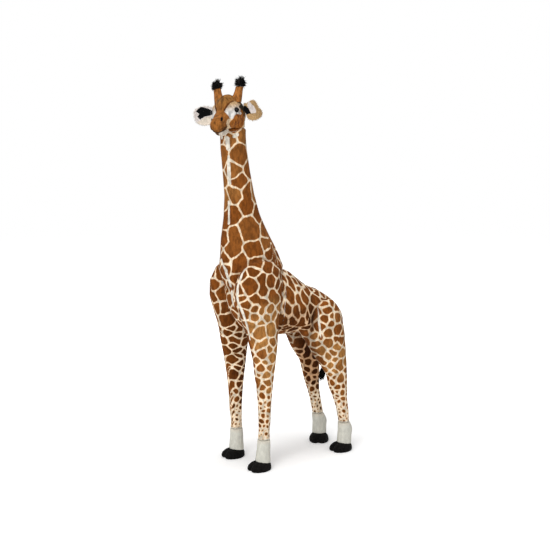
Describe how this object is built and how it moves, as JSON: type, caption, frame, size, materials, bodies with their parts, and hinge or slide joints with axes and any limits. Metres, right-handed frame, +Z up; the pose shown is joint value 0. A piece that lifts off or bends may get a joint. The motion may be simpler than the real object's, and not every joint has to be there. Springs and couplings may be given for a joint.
{
  "type": "standing plush giraffe",
  "caption": "Tall standing stuffed giraffe with patched fur, cloven hooves, tufted horns, a head that turns, ears that flap and a tail that swings.",
  "frame": {"origin": "on the floor, below the middle of the whole toy", "axes": "+Z up, the giraffe faces -Y, +X to its left"},
  "size_m": [0.248, 0.5826, 1.356],
  "materials": {
    "fur_patched": "short plush pile, rust brown patches between cream lines",
    "fur_face": "short plush pile, tan brown",
    "fur_cream": "short plush pile, off-white",
    "fur_black": "black plush, shaggy on the tufts",
    "eye_glass": "polished black-brown safety eye",
    "joint_plastic": "moulded white",
    "frame_steel": "grey powder coat",
    "sole_board": "raw fibreboard"
  },
  "bodies": {
    "body": {"torso": "fur_patched", "neck": "fur_patched", "mane": "fur_face", "leg_front_left": "fur_patched", "leg_front_right": "fur_patched", "leg_rear_left": "fur_patched", "leg_rear_right": "fur_patched", "sock_front_left": "fur_cream", "sock_front_right": "fur_cream", "sock_rear_left": "fur_cream", "sock_rear_right": "fur_cream", "hoof_front_left": "fur_black", "hoof_front_right": "fur_black", "hoof_rear_left": "fur_black", "hoof_rear_right": "fur_black", "neck_joint_disc": "joint_plastic", "spine_bar": "frame_steel", "neck_rod": "frame_steel", "shoulder_crossbar": "frame_steel", "hip_crossbar": "frame_steel", "leg_rod_front_left": "frame_steel", "leg_rod_front_right": "frame_steel", "leg_rod_rear_left": "frame_steel", "leg_rod_rear_right": "frame_steel", "rod_nut_front_left": "frame_steel", "rod_nut_front_right": "frame_steel", "rod_nut_rear_left": "frame_steel", "rod_nut_rear_right": "frame_steel", "sole_board_front_left": "sole_board", "sole_board_front_right": "sole_board", "sole_board_rear_left": "sole_board", "sole_board_rear_right": "sole_board"},
    "head": {"skull": "fur_face", "muzzle": "fur_face", "chin": "fur_cream", "horn_left": "fur_face", "horn_right": "fur_face", "horn_tuft_left": "fur_black", "horn_tuft_right": "fur_black", "eye_left": "eye_glass", "eye_right": "eye_glass", "eye_washer_left": "joint_plastic", "eye_washer_right": "joint_plastic", "nostril_left": "fur_black", "nostril_right": "fur_black", "head_joint_disc": "joint_plastic", "joint_lock_washer": "joint_plastic"},
    "ear_left": {"ear_left": "fur_cream", "ear_lining_left": "fur_black"},
    "ear_right": {"ear_right": "fur_cream", "ear_lining_right": "fur_black"},
    "tail_base": {"tail_root": "fur_patched"},
    "tail": {"tail_cord": "fur_patched", "tail_tuft": "fur_black"}
  },
  "joints": [
    {"name": "head_turn", "type": "hinge", "parent": "body", "child": "head", "pos_m": [0, -0.17, 1.19], "axis": [0, 0, 1], "range_deg": [-66, 12]},
    {"name": "ear_left_flap", "type": "hinge", "parent": "head", "child": "ear_left", "pos_m": [0.0407, -0.14783, 1.25862], "axis": [0.2394, 0.0295, 0.9705], "range_deg": [-20, 20], "stiffness_Nm_per_rad": 0.05},
    {"name": "ear_right_flap", "type": "hinge", "parent": "head", "child": "ear_right", "pos_m": [-0.04876, -0.20593, 1.24647], "axis": [-0.3027, -0.3226, 0.8968], "range_deg": [-20, 20], "stiffness_Nm_per_rad": 0.05},
    {"name": "tail_swing", "type": "hinge", "parent": "body", "child": "tail_base", "pos_m": [0, 0.27, 0.505], "axis": [0, 1, 0], "range_deg": [-32, 6]},
    {"name": "tail_lift", "type": "hinge", "parent": "tail_base", "child": "tail", "pos_m": [0, 0.2788, 0.505], "axis": [1, 0, 0], "range_deg": [0, 60]}
  ]
}
